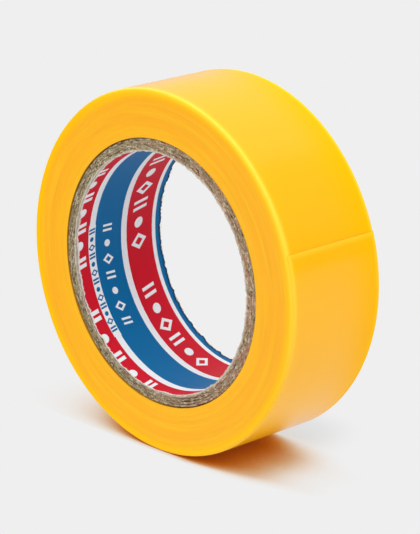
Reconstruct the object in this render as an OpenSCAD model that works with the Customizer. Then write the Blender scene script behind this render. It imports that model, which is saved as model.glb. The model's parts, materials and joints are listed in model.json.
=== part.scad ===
// Roll of electrical tape: a PVC film with an adhesive coat, wound in one
// continuous spiral on a chipboard core that is lined with printed paper.
// The axis of the roll lies along Y and passes through the origin.

/* [Tape] */
// Width of the tape, along the axis of the roll
tape_w = 19; // [12:0.5:50]
// Thickness of the PVC film
film_t = 0.11; // [0.08:0.01:0.2]
// Thickness of the adhesive coat on the inner side of the film
adhesive_t = 0.02; // [0.02:0.01:0.05]
// Number of turns wound on the core
turns = 60; // [10:1:70]

/* [Core] */
// Diameter of the open bore, inside the printed liner
bore_d = 38.8; // [25:0.1:76]
// Thickness of the printed paper liner
liner_t = 0.12; // [0.1:0.01:0.3]
// Thickness of each chipboard ply
ply_t = 0.475; // [0.3:0.005:0.8]
// How far each end of the core sits below the side of the tape
core_recess = 0.1; // [0:0.05:0.5]

/* [Free end] */
// Angle of the cut end of the tape, from +X towards +Z
cut_angle = 18; // [0:1:359]
// Angle around the roll that each link of the free end covers
link_angle = 10; // [5:1:15]

/* [Hidden] */

$fn = 180;
plies = 4;
links = 8;
pitch = film_t + adhesive_t;
core_w = tape_w - 2 * core_recess;
board_r = bore_d / 2 + liner_t;
core_r = board_r + plies * ply_t;
// The two half-turn centres are this far to either side of the axis
centre_shift = pitch / 4;
// Inner radius of the first half turn, where it just touches the core
first_r = core_r + centre_shift;

// Places along the tape, as the angle wound so far: the cut end, where the
// free end leaves the roll, and one full turn before that
cut_at = 360 * turns;
leave_at = cut_at - links * link_angle;
outer_turn_at = leave_at - 360;

// A tube round the Y axis, centred on the origin
module sleeve(inner_r, wall, length) {
    rotate([90, 0, 0])
        difference() {
            cylinder(r = inner_r + wall, h = length, center = true);
            cylinder(r = inner_r, h = length + 2, center = true);
        }
}

// A strip of constant thickness, bent round the Z axis from one angle over a sweep
module bent_strip(inner_r, thickness, from, sweep) {
    rotate_extrude(start = from, angle = sweep)
        translate([inner_r, -tape_w / 2])
            square([thickness, tape_w]);
}

// Half turns alternate between two centres, which makes an unbroken spiral:
// each one starts tangent to the last and half a pitch further out
function half_turn_x(i) = (i % 2 == 0) ? -centre_shift : centre_shift;
function half_turn_r(i) = first_r + i * pitch / 2;

// The stretch of tape between two places along it, with rise as the height
// above the turn below. It stands on edge, with the cut end at its angle.
module tape(from, to, rise, thickness) {
    rotate([90, 0, 0])
        rotate([0, 0, cut_angle])
            for (i = [floor(from / 180) : ceil(to / 180) - 1]) {
                start = max(from, 180 * i);
                sweep = min(to, 180 * (i + 1)) - start;
                translate([half_turn_x(i), 0, 0])
                    bent_strip(half_turn_r(i) + rise, thickness, start % 360, sweep);
            }
}

module film(from, to) {
    tape(from, to, adhesive_t, film_t);
}

module adhesive(from, to) {
    tape(from, to, 0, adhesive_t);
}

module printed_liner() {
    color([0.12, 0.35, 0.6])
        sleeve(bore_d / 2, liner_t, core_w);
}

// Ply k of the chipboard tube, counted from 1 at the liner
module core_ply(k) {
    color([0.58 - 0.03 * (k % 2), 0.52 - 0.03 * (k % 2), 0.43])
        sleeve(board_r + (k - 1) * ply_t, ply_t, core_w);
}

module wound_film() {
    color([0.98, 0.74, 0.1])
        film(0, outer_turn_at);
}

module wound_adhesive() {
    color([0.8, 0.62, 0.25])
        adhesive(0, outer_turn_at);
}

// The last full turn that stays on the roll when the free end is peeled
module outer_turn_film() {
    color([1, 0.76, 0.1])
        film(outer_turn_at, leave_at);
}

module outer_turn_adhesive() {
    color([0.8, 0.62, 0.25])
        adhesive(outer_turn_at, leave_at);
}

// Link k of the free end, counted from 1 where it leaves the roll
module end_film(k) {
    color([1, 0.8 - 0.06 * (k % 2), 0.15])
        film(leave_at + (k - 1) * link_angle, leave_at + k * link_angle);
}

module end_adhesive(k) {
    color([0.8, 0.62, 0.25])
        adhesive(leave_at + (k - 1) * link_angle, leave_at + k * link_angle);
}

printed_liner();
core_ply(1);  // core_ply_1
core_ply(2);  // core_ply_2
core_ply(3);  // core_ply_3
core_ply(4);  // core_ply_4
wound_film();
wound_adhesive();
outer_turn_film();
outer_turn_adhesive();
end_film(1);  // end_film_1
end_film(2);  // end_film_2
end_film(3);  // end_film_3
end_film(4);  // end_film_4
end_film(5);  // end_film_5
end_film(6);  // end_film_6
end_film(7);  // end_film_7
end_film(8);  // end_film_8
end_adhesive(1);  // end_adhesive_1
end_adhesive(2);  // end_adhesive_2
end_adhesive(3);  // end_adhesive_3
end_adhesive(4);  // end_adhesive_4
end_adhesive(5);  // end_adhesive_5
end_adhesive(6);  // end_adhesive_6
end_adhesive(7);  // end_adhesive_7
end_adhesive(8);  // end_adhesive_8
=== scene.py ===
import json
import math

import bmesh
import bpy
import numpy as np
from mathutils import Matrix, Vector


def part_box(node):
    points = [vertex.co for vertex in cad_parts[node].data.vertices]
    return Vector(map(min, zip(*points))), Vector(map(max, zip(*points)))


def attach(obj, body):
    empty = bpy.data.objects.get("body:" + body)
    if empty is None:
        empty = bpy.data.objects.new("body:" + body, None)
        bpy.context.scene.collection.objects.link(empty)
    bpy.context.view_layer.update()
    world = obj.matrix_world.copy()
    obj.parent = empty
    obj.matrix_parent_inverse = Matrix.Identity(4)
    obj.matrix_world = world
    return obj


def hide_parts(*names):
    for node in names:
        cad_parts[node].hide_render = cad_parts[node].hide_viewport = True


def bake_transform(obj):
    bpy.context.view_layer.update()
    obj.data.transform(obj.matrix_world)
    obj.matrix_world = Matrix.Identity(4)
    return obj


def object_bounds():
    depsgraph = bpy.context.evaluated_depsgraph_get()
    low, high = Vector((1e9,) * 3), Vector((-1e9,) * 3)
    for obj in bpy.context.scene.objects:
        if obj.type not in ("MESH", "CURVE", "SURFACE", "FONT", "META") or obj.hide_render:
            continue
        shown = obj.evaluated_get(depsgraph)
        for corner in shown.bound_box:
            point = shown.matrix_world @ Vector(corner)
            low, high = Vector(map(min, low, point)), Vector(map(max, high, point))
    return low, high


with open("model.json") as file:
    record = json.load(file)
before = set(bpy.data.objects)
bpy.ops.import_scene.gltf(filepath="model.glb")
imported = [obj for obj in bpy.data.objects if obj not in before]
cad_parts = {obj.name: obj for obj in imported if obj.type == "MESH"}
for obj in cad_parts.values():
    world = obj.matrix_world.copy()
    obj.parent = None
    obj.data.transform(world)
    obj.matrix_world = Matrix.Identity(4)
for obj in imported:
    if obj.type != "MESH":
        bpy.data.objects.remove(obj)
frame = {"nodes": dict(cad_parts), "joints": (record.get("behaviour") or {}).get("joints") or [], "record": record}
cad_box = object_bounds()
MM = 0.001

# ---------------------------------------------------------------- sizes from the frame

LINKS = len(frame["joints"])
HALF_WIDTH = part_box("wound_film")[1].y / MM
CORE_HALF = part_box("core_ply_1")[1].y / MM
BORE_R = next(m for m in frame["record"]["mounts"] if m["name"] == "bore")["dims"]["r_mm"]
PLIES = sorted(node for node in frame["nodes"] if node.startswith("core_ply"))
# Outer radius of the liner, then of each ply of the core
BOARD_R = [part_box(node)[1].x / MM for node in ["printed_liner"] + PLIES]
CORE_R = BOARD_R[-1]


def circle_through(a, b, c):
    """Centre and radius of the circle through three points of a plane."""
    lines = 2 * np.array([b - a, c - a])
    centre = np.linalg.solve(lines, [b @ b - a @ a, c @ c - a @ a])
    return centre, np.linalg.norm(a - centre)


def angle_of(point, centre):
    return math.atan2(point[1] - centre[1], point[0] - centre[0])


HINGES = [np.array([joint["pos_m"][0], joint["pos_m"][2]]) / MM for joint in frame["joints"]]
CENTRE, ROLL_R = circle_through(HINGES[0], HINGES[LINKS // 2], HINGES[-1])
LINK_DEG = math.degrees(angle_of(HINGES[-1], CENTRE) - angle_of(HINGES[0], CENTRE)) / (LINKS - 1)
CUT = angle_of(HINGES[-1], CENTRE) + math.radians(LINK_DEG)

# The spiral is made of half turns about two centres, each half a pitch further out than the last.
# The centres are a quarter of a pitch from the axis, and the outer radius of the last half turn is
# the core's, plus a pitch for each turn and three quarters of one more.
CENTRE_SHARE = 0.25
OUTER_SHARE = 0.75
TURNS = round((ROLL_R - CORE_R) / (np.linalg.norm(CENTRE) / CENTRE_SHARE) - OUTER_SHARE)
PITCH = (ROLL_R - CORE_R) / (TURNS + OUTER_SHARE)
SHIFT = PITCH * CENTRE_SHARE
FIRST_R = CORE_R + SHIFT
# The share of each turn's thickness that is adhesive
ADHESIVE_SHARE = 2 / 13
# How many degrees the free end covers, and the degrees wound where it leaves the roll
FREE_SWEEP = LINKS * LINK_DEG
LEAVE_AT = 360 * TURNS - FREE_SWEEP


# ---------------------------------------------------------------- noise and small helpers

def smooth(x):
    """0 below 0, 1 above 1, and a smooth step between."""
    x = np.clip(x, 0, 1)
    return x * x * (3 - 2 * x)


def ring_noise(seed, round_cells, across_cells):
    """Smooth noise from 0 to 1 over (turn, across). It closes on itself after a whole turn."""
    grid = np.random.default_rng(seed).uniform(0, 1, (round_cells, across_cells + 2))

    def at(turn, across):
        u, v = np.broadcast_arrays((turn % 1) * round_cells, np.clip(across, 0, 1) * across_cells)
        i, j = np.floor(u).astype(int), np.floor(v).astype(int)
        s, t = smooth(u - i), smooth(v - j)
        i, k = i % round_cells, (i + 1) % round_cells
        low = grid[i, j] * (1 - s) + grid[k, j] * s
        high = grid[i, j + 1] * (1 - s) + grid[k, j + 1] * s
        return low * (1 - t) + high * t

    return at


def line_noise(seed, cells):
    """Smooth noise from 0 to 1 along a line whose place runs from 0 to 1."""
    values = np.random.default_rng(seed).uniform(0, 1, cells + 2)

    def at(place):
        u = np.clip(place, 0, 1) * cells
        i = np.floor(u).astype(int)
        t = smooth(u - i)
        return values[i] * (1 - t) + values[i + 1] * t

    return at


def lattice(columns, rows, close_rows=False):
    """Quads over points stored column by column."""
    quads = []
    for i in range(columns - 1):
        for j in range(rows if close_rows else rows - 1):
            k = (j + 1) % rows
            quads.append((i * rows + j, i * rows + k, (i + 1) * rows + k, (i + 1) * rows + j))
    return quads


def around(radius, degrees, y):
    """Points at a radius and an angle round the axis."""
    angle = np.radians(degrees)
    return np.stack(np.broadcast_arrays(radius * np.cos(angle), y, radius * np.sin(angle)), -1)


# Faces that meet at more than this angle have a sharp edge between them
CREASE = math.radians(40)
# Points closer than this are one point, in mm
SAME_POINT = 1e-4


def add_attribute(piece, name, values):
    """A number for each point of a piece, for its material to read."""
    attribute = piece.data.attributes.new(name, "FLOAT", "POINT")
    attribute.data.foreach_set("value", np.asarray(values, np.float32).ravel())


def make_piece(name, points, faces, material, merge=False):
    """A smooth-shaded piece from points in mm, with creases where its faces turn sharply."""
    mesh = bpy.data.meshes.new(name)
    mesh.from_pydata((np.asarray(points).reshape(-1, 3) * MM).tolist(), [], faces)
    work = bmesh.new()
    work.from_mesh(mesh)
    if merge:
        bmesh.ops.remove_doubles(work, verts=work.verts, dist=SAME_POINT * MM)
    bmesh.ops.recalc_face_normals(work, faces=work.faces)
    work.to_mesh(mesh)
    work.free()
    mesh.shade_smooth()
    mesh.set_sharp_from_angle(angle=CREASE)
    mesh.materials.append(material)
    piece = bpy.data.objects.new(name, mesh)
    bpy.context.scene.collection.objects.link(piece)
    return piece


def on_tape(wound, height, y):
    """Points of the spiral: degrees wound so far, height above the turn below, place across."""
    wound, height, y = np.broadcast_arrays(np.asarray(wound, float), height, y)
    half_turn = np.floor(wound / 180)
    centre = np.where(half_turn % 2 == 0, -SHIFT, SHIFT)
    radius = FIRST_R + half_turn * PITCH / 2 + height
    along = centre + radius * np.cos(np.radians(wound))
    above = radius * np.sin(np.radians(wound))
    x = along * math.cos(CUT) - above * math.sin(CUT)
    z = along * math.sin(CUT) + above * math.cos(CUT)
    return np.stack([x, y, z], -1)


# ---------------------------------------------------------------- writing materials as formulas

class Num:
    """A number inside a node tree, so that a pattern reads as a formula."""

    def __init__(self, shader, socket):
        self.shader = shader
        self.socket = socket

    def __add__(self, other):
        return self.shader.math("ADD", self, other)

    def __sub__(self, other):
        return self.shader.math("SUBTRACT", self, other)

    def __rsub__(self, other):
        return self.shader.math("SUBTRACT", other, self)

    def __mul__(self, other):
        return self.shader.math("MULTIPLY", self, other)

    def __truediv__(self, other):
        return self.shader.math("DIVIDE", self, other)

    __radd__ = __add__

    def abs(self):
        return self.shader.math("ABSOLUTE", self)

    def floor(self):
        return self.shader.math("FLOOR", self)

    def modulo(self, length):
        return self.shader.math("FLOORED_MODULO", self, length)

    def most(self, other):
        return self.shader.math("MAXIMUM", self, other)

    def below(self, other):
        return self.shader.math("LESS_THAN", self, other)

    def equals(self, other):
        """1 where both are the same whole number."""
        return self.shader.math("COMPARE", self, other, 0.1)

    def rise(self, low, high):
        """0 below low, 1 above high, and a smooth step between."""
        node = self.shader.node("MapRange", interpolation_type="SMOOTHSTEP")
        self.shader.feed(node.inputs["Value"], self)
        self.shader.feed(node.inputs["From Min"], low)
        self.shader.feed(node.inputs["From Max"], high)
        return Num(self.shader, node.outputs["Result"])

    def fall(self, low, high):
        """1 below low, 0 above high."""
        return 1 - self.rise(low, high)


class Shader:
    """A node tree being written, of a material or of the world."""

    def __init__(self, owner):
        owner.use_nodes = True
        self.tree = owner.node_tree
        self.tree.nodes.clear()

    def node(self, kind, **settings):
        node = self.tree.nodes.new("ShaderNode" + kind)
        for key, value in settings.items():
            setattr(node, key, value)
        return node

    def feed(self, socket, value):
        value = getattr(value, "socket", value)
        if isinstance(value, bpy.types.NodeSocket):
            self.tree.links.new(value, socket)
        elif isinstance(value, tuple):
            socket.default_value = value[:len(socket.default_value)]
        else:
            socket.default_value = value

    def math(self, operation, *values):
        node = self.node("Math", operation=operation)
        for socket, value in zip(node.inputs, values):
            self.feed(socket, value)
        return Num(self, node.outputs[0])

    def length(self, a, b):
        return self.math("SQRT", a * a + b * b)

    def vector(self, x, y, z):
        node = self.node("CombineXYZ")
        for socket, value in zip(node.inputs, (x, y, z)):
            self.feed(socket, value)
        return node.outputs[0]

    def split(self, vector):
        node = self.node("SeparateXYZ")
        self.feed(node.inputs[0], vector)
        return [Num(self, socket) for socket in node.outputs]

    def place(self):
        """The point being shaded, in mm."""
        return [axis * (1 / MM) for axis in self.split(self.node("TexCoord").outputs["Object"])]

    def attribute(self, name):
        return Num(self, self.node("Attribute", attribute_name=name).outputs["Fac"])

    def noise(self, vector, scale=1.0, detail=2.0, roughness=0.5):
        node = self.node("TexNoise")
        self.feed(node.inputs["Vector"], vector)
        self.feed(node.inputs["Scale"], scale)
        self.feed(node.inputs["Detail"], detail)
        self.feed(node.inputs["Roughness"], roughness)
        return Num(self, node.outputs[0])

    def specks(self, vector, cell, size, share):
        """1 inside small round specks, in a share of the cells of that size."""
        node = self.node("TexVoronoi")
        self.feed(node.inputs["Vector"], vector)
        self.feed(node.inputs["Scale"], 1 / cell)
        chance = self.split(node.outputs["Color"])[0]
        near = Num(self, node.outputs["Distance"]).fall(size / cell * 0.5, size / cell)
        return near * chance.rise(1 - share, 1.001 - share)

    def mix(self, share, a, b):
        node = self.node("Mix", data_type="RGBA")
        sockets = {socket.identifier: socket for socket in node.inputs}
        self.feed(sockets["Factor_Float"], share)
        self.feed(sockets["A_Color"], a)
        self.feed(sockets["B_Color"], b)
        return Num(self, next(o for o in node.outputs if o.identifier == "Result_Color"))

    def shade(self, colour, factor):
        """The colour made lighter or darker by a factor."""
        node = self.node("VectorMath", operation="SCALE")
        self.feed(node.inputs[0], colour)
        self.feed(node.inputs["Scale"], factor)
        return Num(self, node.outputs[0])

    def ramp(self, value, stops):
        """A colour that runs smoothly through (value, colour) stops."""
        node = self.node("ValToRGB")
        self.feed(node.inputs[0], value)
        elements = node.color_ramp.elements
        while len(elements) < len(stops):
            elements.new(0.5)
        for element, (at, colour) in zip(elements, stops):
            element.position = at
            element.color = colour
        return Num(self, node.outputs["Color"])

    def surface(self, colour, roughness, height, **more):
        """A Principled surface. height is the relief in mm."""
        bump = self.node("Bump")
        self.feed(bump.inputs["Height"], height)
        self.feed(bump.inputs["Distance"], MM)
        principled = self.node("BsdfPrincipled")
        self.feed(principled.inputs["Base Color"], colour)
        self.feed(principled.inputs["Roughness"], roughness)
        self.feed(principled.inputs["Normal"], bump.outputs[0])
        for name, value in more.items():
            self.feed(principled.inputs[name.replace("_", " ")], value)
        output = self.node("OutputMaterial")
        self.feed(output.inputs["Surface"], principled.outputs[0])


def srgb(red, green, blue):
    """A linear colour from the 0 to 255 values that a screen shows."""
    channels = []
    for value in (red, green, blue):
        value /= 255
        channels.append(value / 12.92 if value <= 0.04045 else ((value + 0.055) / 1.055) ** 2.4)
    return (*channels, 1)


def material_named(name):
    material = bpy.data.materials.new(name)
    return material, Shader(material)


# ---------------------------------------------------------------- materials

TREAD_COLOUR = (1.0, 0.478, 0.002, 1)
SIDE_COLOUR = (0.905, 0.398, 0.001, 1)
SIDE_YELLOW = (0.900, 0.452, 0.002, 1)
# Painted glow along the edges of the film
EDGE_GLOW_COLOUR = (1.0, 0.51, 0.0, 1)
# Painted highlight on the very rim, dimmer at the lower left and brighter at the upper right
PAINTED_RIM_DIM = (1.0, 0.50, 0.003, 1)
PAINTED_RIM_BRIGHT = (1.0, 0.63, 0.030, 1)
ADHESIVE_COLOUR = (0.86, 0.50, 0.06, 1)
SPECK_PALE = srgb(255, 226, 150)
SPECK_DARK = srgb(214, 142, 84)
# Painted shade in the gap between the tape and the core
PACK_GAP_SHADE = srgb(150, 96, 40)
# The painted shade at the core starts and is full at these distances from it, in mm
PACK_GAP = (0.16, 0.04)
PVC_IOR = 1.5
ADHESIVE_IOR = 1.48
# The tread's gloss, what it loses at the back edge and the distances from there over which it does
TREAD_GLOSS = 0.48
TREAD_GLOSS_LOSS = 0.43
TREAD_GLOSS_OVER = (0.5, 9.0)
# The sides' gloss, what it loses near the rim, and what it gains per mm to the right
SIDE_GLOSS = 0.22
SIDE_GLOSS_LOSS = 0.17
SIDE_GLOSS_RIGHT = 0.0022
# The tread's roughness, and how much rougher the sides are
TREAD_ROUGHNESS = 0.13
SIDE_ROUGHER = 0.3


def pvc_film(name, wound):
    """Glossy PVC. The wound pack also has sides, where the edges of all the turns show."""
    material, s = material_named(name)
    x, y, z = s.place()
    radius = s.length(x, z)
    across, up = x / radius, z / radius
    edge = HALF_WIDTH - y.abs()
    depth = (ROLL_R - radius).most(0.0) if wound else 0.0
    corner = s.length(edge, depth) if wound else edge
    # Mask of the painted rim highlight, which also takes a little gloss off the rim
    rim = corner.fall(0.3, 1.15)
    near_edge = corner.fall(0.2, 2.4)

    stretch = s.noise(s.vector(across * 1.3, up * 1.3, y * 1.6), 1.0, 3.0)
    mottle = s.noise(s.vector(x, y, z), 0.22, 2.0)
    # Painted glow towards the edges of the film
    colour = s.mix(near_edge * 0.6, TREAD_COLOUR, EDGE_GLOW_COLOUR)
    lightness = 0.975 + stretch * 0.03 + mottle * 0.03
    roughness = TREAD_ROUGHNESS + stretch * 0.06
    gloss = TREAD_GLOSS - (HALF_WIDTH - y).fall(*TREAD_GLOSS_OVER) * TREAD_GLOSS_LOSS - rim * 0.1
    height = stretch * 0.004 + s.noise(s.vector(x, y, z), 2.5, 2.0) * 0.0006
    if wound:
        on_side = depth.rise(0.12, 0.34)
        fine = s.noise(s.vector(across * 4, up * 4, radius * 7), 1.0, 3.0, 0.6)
        broad = s.noise(s.vector(across * 1.4, up * 1.4, radius * 1.1), 1.0, 3.0, 0.6)
        side = s.mix((broad - fine * 0.35).rise(0.22, 0.52), SIDE_COLOUR, SIDE_YELLOW)
        side = s.mix(radius.fall(CORE_R + 0.2, CORE_R + 2.2) * 0.7, side, SIDE_YELLOW)
        # Painted highlight that spreads the rim's glow onto the side
        side = s.mix(depth.fall(0.3, 2.2), side, EDGE_GLOW_COLOUR)
        colour = s.mix(on_side, colour, side)
        lines = s.noise(s.vector(across * 1.1, up * 1.1, radius * 4.5), 1.0, 4.0, 0.75)
        streaks = 0.955 + fine * 0.05 + broad * 0.04 - lines.fall(0.34, 0.46) * 0.09
        lightness = lightness * (1 - on_side) + streaks * on_side
        roughness = roughness + on_side * (SIDE_ROUGHER - stretch * 0.06 + fine * 0.08)
        side_gloss = SIDE_GLOSS - near_edge * SIDE_GLOSS_LOSS + x * SIDE_GLOSS_RIGHT
        gloss = gloss * (1 - on_side) + on_side * side_gloss
        height = height * (1 - on_side) + on_side * (fine * 0.010 + lines * 0.012)
    else:
        # The free end's rim also takes the painted glow at the cut end
        rim = rim.most(s.attribute("cut_glow"))
    # Painted highlight: the edge of the film is palest towards the top right, where more light falls
    rim_lit_share = ((x + z) / ROLL_R).rise(0.0, 1.5)
    colour = s.shade(s.mix(rim, colour, s.mix(rim_lit_share, PAINTED_RIM_DIM, PAINTED_RIM_BRIGHT)), lightness)
    if wound:
        pale = s.specks(s.vector(x, y, z), 2.6, 0.07, 0.16) * on_side
        dark = s.specks(s.vector(z, x, y), 3.4, 0.06, 0.12) * on_side
        colour = s.mix(pale * 0.7, colour, SPECK_PALE)
        colour = s.mix(dark * 0.6, colour, SPECK_DARK)
        # Painted shade in the gap between the tape and the core
        gap = depth.rise(*(ROLL_R - CORE_R - distance for distance in PACK_GAP)) * on_side
        colour = s.mix(gap * 0.75, colour, PACK_GAP_SHADE)
    s.surface(colour, roughness, height, IOR=PVC_IOR, Specular_IOR_Level=gloss)
    return material


def adhesive_coat():
    """Tacky rubber on the inner side of the film, with a fine pebbled skin."""
    material, s = material_named("adhesive_coat")
    x, y, z = s.place()
    pebble = s.noise(s.vector(x, y, z), 5.0, 3.0)
    patch = s.noise(s.vector(x, y, z), 0.5, 2.0)
    colour = s.shade(ADHESIVE_COLOUR, 0.93 + patch * 0.1)
    s.surface(colour, 0.28 + pebble * 0.2, pebble * 0.006, IOR=ADHESIVE_IOR)
    return material


# Board, from dark to light
BOARD_TONES = (srgb(80, 62, 40), srgb(146, 130, 100), srgb(206, 195, 170))
BOARD_RUST = srgb(166, 122, 98)
BOARD_CRACK = srgb(62, 45, 28)
BOARD_INNER = srgb(214, 206, 192)
# Painted shade in the gap between the board and the tape
BOARD_GAP_SHADE = srgb(104, 68, 36)
FIBRE_PALE = srgb(222, 212, 192)


def chipboard(name, seed):
    """Grey-brown board. Its cut ends are mottled with torn clumps and flecks of fibre."""
    material, s = material_named(name)
    x, y, z = s.place()
    radius = s.length(x, z)
    round_x, round_z = x / radius * CORE_R, z / radius * CORE_R
    fibre = s.noise(s.vector(round_x * 0.9, round_z * 0.9, radius * 3.6 + seed), 1.0, 3.0, 0.6)
    other = s.noise(s.vector(round_z * 1.2, round_x * 1.2, radius * 3.2 - seed), 1.0, 3.0, 0.6)
    clump = s.noise(s.vector(x + seed, y, z), 2.3, 3.0, 0.65)
    grain = s.noise(s.vector(x - seed, y, z), 6.0, 3.0, 0.7)
    base = (fibre * 0.6 + grain * 0.4).rise(0.36, 0.52)
    colour = s.mix(base, BOARD_TONES[0], BOARD_TONES[1])
    # The board is browner towards one side of the tube
    rust = s.noise(s.vector(x, y, z + seed), 0.35, 3.0).rise(0.36, 0.58) * (x / CORE_R).rise(-0.6, 0.8)
    colour = s.mix(rust * 0.8, colour, BOARD_RUST)
    colour = s.mix((other * 0.6 + grain * 0.4).rise(0.51, 0.58) * 0.85, colour, BOARD_TONES[2])
    crack = (fibre * 0.6 + clump * 0.4).fall(0.39, 0.44)
    colour = s.mix(crack * 0.85, colour, BOARD_CRACK)
    # Pale at the liner, and a painted shade line in the gap at the tape
    pale = radius.fall(BOARD_R[0] - 0.1, BOARD_R[0] + 0.3) * (0.25 + grain * 0.8)
    colour = s.mix(pale, colour, BOARD_INNER)
    gap = (radius + clump * 0.16 - 0.08).rise(CORE_R - 0.12, CORE_R - 0.01)
    colour = s.mix(gap * 0.75, colour, BOARD_GAP_SHADE)
    s.surface(colour, 0.9, fibre * 0.14 + grain * 0.06, Specular_IOR_Level=0.15)
    return material


def fibre_material():
    """Single paper fibres, from pale to brown."""
    material, s = material_named("paper_fibre")
    tone = s.attribute("tone")
    x, y, z = s.place()
    grain = s.noise(s.vector(x, y, z), 4.0)
    colour = s.mix(tone.rise(0.1, 0.9), BOARD_TONES[1], FIBRE_PALE)
    s.surface(s.shade(colour, 0.8 + grain * 0.3), 0.85, grain * 0.01, Specular_IOR_Level=0.2)
    return material


RED, BLUE, WHITE = srgb(206, 20, 42), srgb(0, 106, 162), srgb(236, 243, 244)
# Distance of each band's far edge from the front side of the tape, in mm
BANDS = (
    (2.95, RED),
    (4.15, WHITE),
    (9.9, BLUE),
    (11.1, WHITE),
    (16.75, RED),
    (17.5, WHITE),
    (30.0, BLUE),
)
BAND_SOFT = 0.04
TORN_PAPER = srgb(232, 226, 218)
# Painted shade along the torn back edge
FAR_TORN_SHADE = srgb(16, 44, 66)
# Rows of white marks on the bands, as marks() takes them
WHITE_ROWS = (
    dict(middle=13.75, first=133, period=72, cell=3.2, count=6, size=1.4, slant=0.25),
    dict(middle=0.95, first=133, period=180, cell=2.9, count=7, size=1.2, slant=0.25, kinds=2, weight=0.26),
    dict(middle=0.95, first=209, period=180, cell=3.9, count=5, size=1.3, slant=0.2, kinds=2, weight=0.26),
    dict(middle=6.85, first=170, period=120, cell=2.65, count=7, size=0.95, slant=0.0),
)
# White labels, with a row of small blue marks on them: degrees round the bore, and mm across it
LABEL_FIRST = 171
LABEL_PERIOD = 120
LABEL_SWEEP = 56
LABEL_ACROSS = (2.78, 4.30)
LABEL_SOFT = 0.06
BLUE_ROW = dict(middle=3.54, first=172, period=120, cell=1.38, count=13, size=0.62, slant=0.2, weight=0.26)


def bar(u, v, half_length, half_width):
    """How far a point is outside an upright bar."""
    return (u.abs() - half_width).most(v.abs() - half_length)


def marks(s, degrees, across, middle, first, period, cell, count, size, slant, kinds=3, weight=0.2):
    """A row of pairs of bars, discs and diamonds, which reach about size mm either side of its middle.

    It starts at the angle first and comes again every period degrees, with count marks that have
    cell mm each. kinds is how many of the three shapes it uses, and weight is how thick the bars are.
    """
    v = across - middle
    along = (degrees - first).modulo(period) * (math.pi / 180 * BORE_R)
    index = (along / cell).floor()
    u = along - (index + 0.5) * cell + v * slant
    kind = index.modulo(kinds)
    pair = bar(u.abs() - 0.44 * size, v, size, weight * size)
    disc = s.length(u, v) - 0.62 * size
    diamond = (u.abs() + v.abs() * 0.8 - 0.72 * size).abs() - 0.24 * size
    outside = pair
    # Where the kind is not a disc or a diamond, it is a pair of bars
    for number, shape in ((1, disc), (2, diamond))[:kinds - 1]:
        chosen = kind.equals(number)
        outside = outside * (1 - chosen) + shape * chosen
    return outside.fall(-0.03, 0.03) * index.below(count)


def liner_print():
    """Coated paper with bands of red, white and blue ink that run round the bore."""
    material, s = material_named("liner_print")
    x, y, z = s.place()
    across = y + HALF_WIDTH
    degrees = s.math("ARCTAN2", z, x) * (180 / math.pi)
    grain = s.noise(s.vector(x, y, z), 7.0, 3.0, 0.6)
    worn = s.noise(s.vector(x, y, z), 0.5, 3.0, 0.6)
    wander = (s.noise(s.vector(x, y, z), 1.2, 2.0) - 0.5) * 0.08
    colour = BANDS[0][1]
    for (start, _), (_, ink) in zip(BANDS, BANDS[1:]):
        colour = s.mix((across + wander).rise(start - BAND_SOFT, start + BAND_SOFT), colour, ink)
    for row in WHITE_ROWS:
        colour = s.mix(marks(s, degrees, across, **row), colour, WHITE)
    near, far = LABEL_ACROSS
    label = (degrees - LABEL_FIRST).modulo(LABEL_PERIOD).below(LABEL_SWEEP)
    label = label * across.rise(near, near + LABEL_SOFT) * across.fall(far - LABEL_SOFT, far)
    colour = s.mix(label, colour, WHITE)
    colour = s.mix(marks(s, degrees, across, **BLUE_ROW), colour, BLUE)
    # Bare paper shows at the torn front edge, and painted shade darkens the torn back edge
    tear = s.attribute("tear") - grain * 0.5
    colour = s.mix(tear.fall(-0.12, 0.04), colour, TORN_PAPER)
    far_tear = s.attribute("far_tear") - grain * 0.5
    colour = s.mix(far_tear.fall(-0.05, 0.35) * 0.75, colour, FAR_TORN_SHADE)
    colour = s.shade(colour, 0.9 + grain * 0.14 + worn * 0.08)
    s.surface(colour, 0.42 + grain * 0.15, grain * 0.006, IOR=1.45, Specular_IOR_Level=0.14)
    return material


# ---------------------------------------------------------------- the wound pack of tape

RIM_RADIUS = 0.45
# Depth of the groove between two turns
GROOVE = 0.014
# Degrees between rings of points, and rows of points across the tread
PACK_STEP = 1.5
TREAD_ROWS = 22
# Where the outermost turn's rounded edge has its last points, as shares of its thickness
EDGE_HEIGHTS = (0.78, 0.93, 1.0)
# How far the sides are uneven, from each stretch of tape and in broad patches
RAG_STRETCH = 0.022
RAG_PATCH = 0.03
# The turn under the free end comes out to the surface over this many degrees
SURFACING = 30
FIRST_WOUND = LEAVE_AT - 360 * TURNS


def round_over(depth):
    """How far the side edge of the tape is pulled in at a depth below the surface of the roll."""
    left = np.clip(RIM_RADIUS - depth, 0, RIM_RADIUS)
    return RIM_RADIUS - np.sqrt(RIM_RADIUS ** 2 - left ** 2)


def side_rag(seed):
    """How unevenly the turns lie at one side, in mm inwards, over the degrees wound."""
    each_turn = line_noise(seed, TURNS * 12)
    patches = ring_noise(seed + 1, 9, 14)

    def at(wound):
        turn = wound / 360
        return RAG_STRETCH * each_turn(turn / TURNS) + RAG_PATCH * patches(turn, turn / TURNS)

    return at


RAG = {-1: side_rag(11), 1: side_rag(12)}


def edge_place(side, wound, depth, groove=0.0):
    """Place across the roll of the tape's edge, on side -1 (front) or 1 (back)."""
    return side * (HALF_WIDTH - round_over(depth) - groove * GROOVE - RAG[side](wound))


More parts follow.
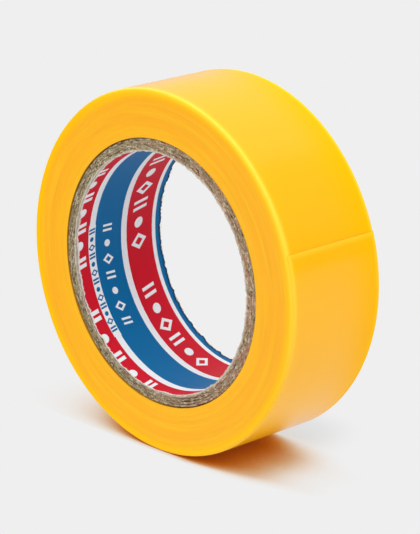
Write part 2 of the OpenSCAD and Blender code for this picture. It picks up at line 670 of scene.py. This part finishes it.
def pack_points(past):
    """Rings of points round the section of the pack, at degrees past where the free end leaves."""
    layer = np.append(np.repeat(np.arange(TURNS), 2), [TURNS - 1] * len(EDGE_HEIGHTS))[None, :]
    height = np.append(np.tile([0, 0.5], TURNS), EDGE_HEIGHTS)[None, :] * PITCH
    valley = (height == 0).astype(float)
    past = past[:, None]
    wound = FIRST_WOUND + 360 * layer + past
    # The turn under the free end comes out to the surface just before the cut
    under = 1 - smooth((past - FREE_SWEEP + SURFACING) / SURFACING)
    depth = (TURNS - 1 - layer + under) * PITCH + PITCH - height
    groove = valley + (height == PITCH) * under
    # The first turn starts with no thickness, so that the pack closes on itself
    lead = np.where(wound < 0, past / FREE_SWEEP, 1.0)
    height = PITCH + (height - PITCH) * lead
    sides = [on_tape(wound, height, edge_place(side, wound, depth, groove)) for side in (-1, 1)]
    share = np.linspace(0, 1, TREAD_ROWS + 2)[None, 1:-1, None]
    tread = sides[0][:, -1:] * (1 - share) + sides[1][:, -1:] * share
    return np.concatenate([sides[0], tread, sides[1][:, ::-1]], axis=1)


def wound_tape(material):
    past = np.concatenate([[0, 0.05], np.arange(PACK_STEP, 359, PACK_STEP), [359.95, 360]])
    points = pack_points(past)
    columns, ring = points.shape[:2]
    faces = lattice(columns, ring, close_rows=True)
    # The step where the free end leaves: down from the last turn's top to the turn below
    top = 2 * TURNS + 2
    last = (columns - 1) * ring
    for j in range(top, top + TREAD_ROWS + 1):
        faces.append((last + j, last + j + 1, j + 1, j))
    front = [last + j for j in range(2 * TURNS - 2, top + 1)]
    back = [last + ring - 1 - j for j in range(2 * TURNS - 2, top + 1)]
    faces += [front, back]
    piece = make_piece("wound_tape", points, faces, material, merge=True)
    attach(piece, "roll")
    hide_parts("wound_film", "wound_adhesive", "outer_turn_film", "outer_turn_adhesive")


# ---------------------------------------------------------------- the free end

STRIP_ROWS = 16
STRIP_STEP = 0.6
# The cut end stands off by CUT_LIFT, from CUT_LIFT_OVER degrees before it, and wanders along the tape
CUT_LIFT = 0.035
CUT_LIFT_OVER = 1.6
CUT_WANDER = 0.06
# How strongly the painted glow at the cut end shows, and how many mm behind the cut it ends
CUT_GLOW = 0.8
CUT_GLOW_OVER = 1.1
cut_noise = line_noise(31, 14)
lift_noise = line_noise(32, 6)


def strip_points(past, heights):
    """Rings of points round a strip of the free end, between the first and last of the heights."""
    past = past[:, None]
    wound = LEAVE_AT + past
    edges = [
        [on_tape(wound, h * PITCH, edge_place(side, wound, (1 - h) * PITCH)) for h in heights]
        for side in (-1, 1)
    ]
    share = np.linspace(0, 1, STRIP_ROWS + 2)[None, 1:-1, None]
    bottom = edges[0][0] * (1 - share) + edges[1][0] * share
    top = edges[0][-1] * (1 - share) + edges[1][-1] * share
    ring = np.concatenate([bottom, *edges[1], top[:, ::-1], *edges[0][::-1]], axis=1)
    # The cut end is not quite straight, and stands a little off the turn below
    over = (ring[..., 1] / HALF_WIDTH + 1) / 2
    close = np.clip((past - FREE_SWEEP + CUT_LIFT_OVER) / CUT_LIFT_OVER, 0, 1)
    flat = ring * [1, 0, 1]
    outward = flat / np.linalg.norm(flat, axis=-1, keepdims=True)
    along = np.cross(outward, [0, 1, 0])
    lift = close ** 2 * CUT_LIFT * (0.8 + 0.4 * lift_noise(over))
    drift = close * CUT_WANDER * (cut_noise(over) - 0.5)
    return ring + outward * lift[..., None] + along * drift[..., None]


def strip(name, start, stop, heights, material):
    """A closed strip of the free end, with extra points at its ends to keep its shading even."""
    inner = np.linspace(start, stop, max(3, round((stop - start) / STRIP_STEP)))[1:-1]
    past = np.concatenate([[start, start + 0.04], inner, [stop - 0.04, stop]])
    points = strip_points(past, heights)
    columns, ring = points.shape[:2]
    faces = lattice(columns, ring, close_rows=True)
    faces.append(list(range(ring)))
    faces.append([(columns - 1) * ring + j for j in range(ring)])
    return make_piece(name, points, faces, material)


def glow_at_cut(piece):
    """Marks how near each point is to the cut end, for the painted glow of light getting into the film there."""
    points = np.array([vertex.co for vertex in piece.data.vertices]) / MM
    behind = (CUT - np.arctan2(points[:, 2], points[:, 0])) * ROLL_R
    add_attribute(piece, "cut_glow", CUT_GLOW - CUT_GLOW * smooth(behind / CUT_GLOW_OVER))


def tape_middle(past):
    """A point on the outer surface of the free end, halfway across, in metres."""
    return Vector(on_tape(LEAVE_AT + past, PITCH, 0.0) * MM)


def free_end(film, adhesive):
    """Each strip is centred on a hinge, and runs from halfway to the hinge before it to halfway to the hinge after
    it.
    """
    layers = (
        ("film", (ADHESIVE_SHARE, 0.5, *EDGE_HEIGHTS), film, "pvc_film"),
        ("adhesive", (0.0, ADHESIVE_SHARE), adhesive, "adhesive"),
    )
    for link in range(1, LINKS + 1):
        hinge_at = (link - 1) * LINK_DEG
        bend_from = max(0.0, hinge_at - LINK_DEG / 2)
        bend_to = hinge_at + LINK_DEG / 2
        stop = FREE_SWEEP if link == LINKS else bend_to
        for layer, heights, material, slot in layers:
            piece = strip(f"tail_{layer}_{link}", bend_from, stop, heights, material)
            glow_at_cut(piece)
            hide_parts(f"end_{layer}_{link}")
            tape_middle(bend_from)
            tape_middle(bend_to)
            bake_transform(piece)


# ---------------------------------------------------------------- the core

CORE_DEGREES = np.arange(0, 360, 0.5)[:, None]
END_ROWS = 7
# How rough the cut ends are, from coarse to fine
ROUGH = (0.06, 0.13, 0.11)
# How far the cracks between the plies open at most
CRACK = 0.09
# The burr inside the front end: how far it always stands in, then how far its noises move it
BURR = (0.02, 0.16, 0.14)
# How far the front end is pushed out at the bore. This fades to nothing at the tape.
FRONT_PUSHED_OUT = 0.22
# Depth from which a ply has its own inner radius again
HEEL = 0.5
# The front mouth of the bore is pressed outwards, strongest at the lower left
FLARE = 0.36
FLARE_DEPTH = 4.0
FLARE_AT = 237
FLARE_HALF_SWEEP = 62


def flare(degrees, depth):
    """How far the mouth of the bore is pressed outwards at an angle and a depth from the front."""
    beside = np.abs(degrees - FLARE_AT) / FLARE_HALF_SWEEP
    return FLARE * smooth(1 - beside) * np.clip(1 - depth / FLARE_DEPTH, 0, 1)


def ply(number, inner_r, outer_r, material):
    """One ply of the chipboard tube, with rough cut ends and cracks that open between the plies."""
    innermost, outermost = number == 1, number == len(PLIES)
    turn = CORE_DEGREES / 360
    share = np.linspace(0, 1, END_ROWS)[None, :]
    rings = []
    for side in (-1, 1):
        front = side < 0
        seed = 100 * number + 10 * (side + 1)
        coarse = ring_noise(seed, 70, 2)(turn, share)
        middle = ring_noise(seed + 3, 200, 3)(turn, share)
        fine = ring_noise(seed + 1, 420, 6)(turn, share)
        rough = ROUGH[0] * coarse + ROUGH[1] * middle + ROUGH[2] * fine
        crack = ring_noise(seed + 2, 30, 1)(turn, share * 0)
        crack = smooth((crack - 0.6) / 0.25) * CRACK
        rounding = 0.03 * np.abs(2 * share - 1) ** 3
        if outermost:
            rounding = rounding + 0.08 * smooth((share - 0.8) / 0.2)
        low = inner_r + crack * (not innermost)
        if innermost and front:
            # A ragged burr that the knife has turned inwards and pushed out a little
            coarse = ring_noise(seed + 4, 130, 1)(turn, share * 0)
            fine = ring_noise(seed + 5, 420, 1)(turn, share * 0)
            low = low - BURR[0] - BURR[1] * coarse - BURR[2] * fine + flare(CORE_DEGREES, 0)
        if front:
            rounding = rounding - FRONT_PUSHED_OUT * (1 - (number - 1 + share) / len(PLIES))
        high = outer_r - crack * (not outermost) * 0.6 - 0.03 * outermost
        rings.append(around(low + (high - low) * share, CORE_DEGREES, side * (CORE_HALF - rough - rounding)))
    # Inside its ends a ply has its own inner radius, but for the pressed mouth of the innermost one
    heel = []
    for side, depth in ((1, HEEL), (-1, FLARE_DEPTH), (-1, HEEL)):
        pressed = flare(CORE_DEGREES, depth) if innermost and side < 0 else 0
        heel.append(around(inner_r + pressed, CORE_DEGREES, side * (CORE_HALF - depth)))
    points = np.concatenate([rings[0], rings[1][:, ::-1], *heel], axis=1)
    points = np.concatenate([points, points[:1]])
    faces = lattice(len(points), points.shape[1], close_rows=True)
    piece = make_piece(f"board_ply_{number}", points, faces, material, merge=True)
    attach(piece, "roll")
    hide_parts(PLIES[number - 1])


FIBRES_PER_END = 1500
# Sections along a fibre, each a triangle
FIBRE_JOINTS = 4
FIBRE_SEED = 77


def core_fibres(material):
    """Loose paper fibres that stand out of the cut ends of the core."""
    rng = np.random.default_rng(FIBRE_SEED)
    points, faces, tones = [], [], []
    for side in (-1, 1):
        for _ in range(FIBRES_PER_END):
            angle = rng.uniform(0, 2 * math.pi)
            # More of them at the torn inner edge
            radius = BOARD_R[0] - 0.05 + (CORE_R - BOARD_R[0] - 0.15) * rng.uniform() ** 1.5
            heading = rng.normal(0, 0.5) + (math.pi if rng.uniform() < 0.5 else 0)
            length = rng.uniform(0.2, 0.75)
            width = rng.uniform(0.010, 0.024)
            lift = rng.uniform(0.05, 0.35)
            bend = rng.normal(0, 0.5)
            outward = np.array([math.cos(angle), 0, math.sin(angle)])
            tangent = np.array([-math.sin(angle), 0, math.cos(angle)])
            start = outward * radius + [0, side * (CORE_HALF - 0.2), 0]
            base = len(points)
            for step in range(FIBRE_JOINTS):
                t = step / (FIBRE_JOINTS - 1)
                turn = heading + bend * t
                way = tangent * math.cos(turn) + outward * math.sin(turn) * 0.6
                rise = np.array([0, side * lift * math.sin(t * 2.2), 0])
                middle = start + way * length * t + rise * (0.6 + length * 0.4)
                flat = width * (1 - 0.6 * t)
                for corner in range(3):
                    spin = corner * 2 * math.pi / 3
                    normal = outward * math.cos(spin) + np.array([0, math.sin(spin), 0])
                    points.append(middle + normal * flat)
                    tones.append(rng.uniform() if corner == 0 and step == 0 else tones[-1])
            for step in range(FIBRE_JOINTS - 1):
                for corner in range(3):
                    a, b = base + 3 * step + corner, base + 3 * step + (corner + 1) % 3
                    faces.append((a, b, b + 3, a + 3))
            end = base + 3 * (FIBRE_JOINTS - 1)
            faces += [(base, base + 2, base + 1), (end, end + 1, end + 2)]
    piece = make_piece("core_fibres", points, faces, material)
    add_attribute(piece, "tone", tones)
    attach(piece, "roll")


LINER_ROWS = 13
# How far the torn ends wander from fine and coarse noise, at the front and at the back
FRONT_TORN = (0.25, 0.30)
BACK_TORN = (0.30, 0.42)
# How far the paper lies towards the back, how deep its dents are, and its gap to the board
LINER_SHIFT = 0.08
LINER_DENTS = 0.05
LINER_GAP = 0.005


def liner(material):
    """The printed paper, glued in the bore. Both its ends are torn rather than cut."""
    turn = CORE_DEGREES / 360
    fine = [ring_noise(51 + side, 360, 1)(turn, 0 * turn) for side in (0, 1)]
    coarse = [ring_noise(61 + side, 70 + 90 * side, 1)(turn, 0 * turn) for side in (0, 1)]
    front = -CORE_HALF + LINER_SHIFT + FRONT_TORN[0] * fine[0] + FRONT_TORN[1] * coarse[0]
    back = CORE_HALF + LINER_SHIFT - BACK_TORN[0] * fine[1] - BACK_TORN[1] * coarse[1]
    share = np.linspace(0, 1, LINER_ROWS)[None, :]
    y = front * (1 - share) + back * share
    dents = LINER_DENTS * ring_noise(71, 24, 6)(turn, share)
    pressed = flare(CORE_DEGREES, y + CORE_HALF)
    inside = around(BORE_R + dents + pressed, CORE_DEGREES, y)
    outside = around(BOARD_R[0] - LINER_GAP + pressed, CORE_DEGREES, y)
    points = np.concatenate([inside, outside[:, ::-1]], axis=1)
    rows = points.shape[1]
    faces = lattice(len(points), rows, close_rows=True)
    last = (len(points) - 1) * rows
    faces += [(last + j, last + (j + 1) % rows, (j + 1) % rows, j) for j in range(rows)]
    piece = make_piece("liner_paper", points, faces, material)
    # How far each point is from the torn ends
    for name, distance in (("tear", y - front), ("far_tear", back - y)):
        add_attribute(piece, name, np.concatenate([distance, distance[:, ::-1]], axis=1))
    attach(piece, "roll")
    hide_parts("printed_liner")


# ---------------------------------------------------------------- floor, light and camera

# Half the floor's side, and how far the roll shades it, in metres
FLOOR_HALF = 4.0
SHADE_REACH = 0.04
# Floor colours by how much of the sky the roll leaves open above them: a painted shadow, made
# orange as by light that has bounced off the tape
FLOOR_TONES = (
    (0.06, srgb(116, 46, 10)),
    (0.12, srgb(154, 66, 12)),
    (0.21, srgb(181, 91, 14)),
    (0.28, srgb(197, 131, 64)),
    (0.38, srgb(212, 175, 140)),
    (0.46, srgb(226, 204, 184)),
    (0.58, srgb(235, 227, 219)),
    (0.76, srgb(239, 239, 239)),
)
# The shade is deeper under the roll's front half on the right. It ends soon in front of the front
# side, and is lighter far to the right and behind.
SHADE_DEEPER = 0.18
SHADE_FRONT = 0.3
SHADE_RIGHT = 0.08
SHADE_BEHIND = 0.06
# The line where the shade ends in front: how far ahead of the front side it lies, and from where it
# turns back towards the right, and how much
SHADE_EDGE_AHEAD = 0.7
SHADE_EDGE_TURNS_AT = 6
SHADE_EDGE_SLOPE = 0.13
# A faint painted grey shade on the floor behind the roll, its middle and how far out it fades
GREY_SHADE = 0.13
GREY_SHADE_AT = (9, 12)
GREY_SHADE_FADES = (2, 12)
# How strongly the floor lights the roll, and how much more in the shade
BOUNCE = 1.17
BOUNCE_IN_SHADE = 0.5
# How strongly the floor shows in the roll's gloss, nearby and far off, and the distances between
MIRRORED = (0.9, 0.68)
MIRRORED_OVER = (50, 350)


def pale_floor():
    """A plain pale floor that glows evenly, with a painted soft shadow under the roll."""
    mesh = bpy.data.meshes.new("floor")
    z = cad_box[0].z
    corners = [(x * FLOOR_HALF, y * FLOOR_HALF, z) for x, y in ((-1, -1), (1, -1), (1, 1), (-1, 1))]
    mesh.from_pydata(corners, [], [(0, 1, 2, 3)])
    material, s = material_named("floor")
    sky = s.node("AmbientOcclusion", samples=16)
    s.feed(sky.inputs["Distance"], SHADE_REACH)
    x, y, _ = s.place()
    right = (x - SHADE_EDGE_TURNS_AT).most(0.0)
    edge = right * SHADE_EDGE_SLOPE - (HALF_WIDTH + SHADE_EDGE_AHEAD)
    in_front = ((edge - y) / (1 + right * 0.25)).rise(-0.6, 0.6)
    deeper = (y * -1).rise(1, 7) * x.rise(2, 8)
    open_sky = Num(s, sky.outputs["AO"]) * (1 - deeper * SHADE_DEEPER) + in_front * SHADE_FRONT
    open_sky = open_sky + x.rise(17, 26) * SHADE_RIGHT + y.rise(3, 9) * SHADE_BEHIND
    # The floor's colour paints the shadow under the roll, and a grey shade behind it
    grey_shade = s.length(x - GREY_SHADE_AT[0], y - GREY_SHADE_AT[1]).fall(*GREY_SHADE_FADES) * y.rise(6, 11)
    colour = s.shade(s.ramp(open_sky, FLOOR_TONES), 1 - grey_shade * GREY_SHADE)
    # Light goes to and fro between the tape and the floor, so the shade lights the tape more
    lit = BOUNCE + open_sky.fall(0.1, 0.7) * BOUNCE_IN_SHADE
    glow = s.node("Emission")
    s.feed(glow.inputs["Color"], colour)
    seen = s.node("LightPath").outputs
    direct, mirrored = Num(s, seen["Is Camera Ray"]), Num(s, seen["Is Glossy Ray"])
    far_off = s.length(x, y).rise(*MIRRORED_OVER)
    in_gloss = MIRRORED[0] - far_off * (MIRRORED[0] - MIRRORED[1])
    s.feed(glow.inputs["Strength"], lit - direct * (lit - 1) - mirrored * (lit - in_gloss))
    s.feed(s.node("OutputMaterial").inputs["Surface"], glow.outputs[0])
    mesh.materials.append(material)
    floor = bpy.data.objects.new("floor", mesh)
    bpy.context.scene.collection.objects.link(floor)


FRONT_LIGHT = 1.63
BACK_LIGHT = 0.66
# The wall behind to the right, low down and higher up
DARK_WALL = (0.12, 0.30)
# What is added right overhead
CAP_LIGHT = 0.52
BACKDROP = srgb(239, 239, 239)[0]


def studio_light():
    """Soft light from the front and above, weaker from behind and dark behind to the right."""
    world = bpy.data.worlds.new("studio")
    bpy.context.scene.world = world
    s = Shader(world)
    x, y, z = s.split(s.node("TexCoord").outputs["Generated"])
    back, right = y.rise(0.38, 0.56), x.rise(0.14, 0.32)
    front = z.rise(0.07, 0.33) * FRONT_LIGHT
    dark = DARK_WALL[0] + z.rise(0.08, 0.35) * (DARK_WALL[1] - DARK_WALL[0])
    behind = right * dark + (1 - right) * BACK_LIGHT
    light = back * behind + (1 - back) * front + z.rise(0.83, 0.91) * CAP_LIGHT
    # Seen directly, the studio is as pale as the floor
    direct = Num(s, s.node("LightPath").outputs["Is Camera Ray"])
    light = light * (1 - direct) + direct * BACKDROP
    background = s.node("Background")
    s.feed(background.inputs["Color"], (1.0, 1.0, 1.0, 1.0))
    s.feed(background.inputs["Strength"], light)
    s.feed(s.node("OutputWorld").inputs["Surface"], background.outputs[0])


CAMERA_AZIMUTH = math.radians(46.08)
CAMERA_ELEVATION = math.radians(17.20)
CAMERA_DISTANCE = 0.4123
CAMERA_LENS = 176.2
CAMERA_SHIFT = (0.0152, -0.0105)


def studio_camera():
    data = bpy.data.cameras.new("camera")
    data.lens = CAMERA_LENS
    data.shift_x, data.shift_y = CAMERA_SHIFT
    camera = bpy.data.objects.new("camera", data)
    bpy.context.scene.collection.objects.link(camera)
    flat = math.cos(CAMERA_ELEVATION)
    back = Vector((
        math.sin(CAMERA_AZIMUTH) * flat,
        -math.cos(CAMERA_AZIMUTH) * flat,
        math.sin(CAMERA_ELEVATION),
    ))
    camera.location = back * CAMERA_DISTANCE
    camera.rotation_mode = "QUATERNION"
    camera.rotation_quaternion = (-back).to_track_quat("-Z", "Y")
    bpy.context.scene.camera = camera


# ---------------------------------------------------------------- everything together

wound_tape(pvc_film("pvc_wound", wound=True))
free_end(pvc_film("pvc_free_end", wound=False), adhesive_coat())
for number, (inner_r, outer_r) in enumerate(zip(BOARD_R, BOARD_R[1:]), start=1):
    ply(number, inner_r, outer_r, chipboard(f"chipboard_{number}", 7 * number))
core_fibres(fibre_material())
liner(liner_print())
pale_floor()
studio_light()
studio_camera()
bpy.context.scene.view_settings.view_transform = "Standard"
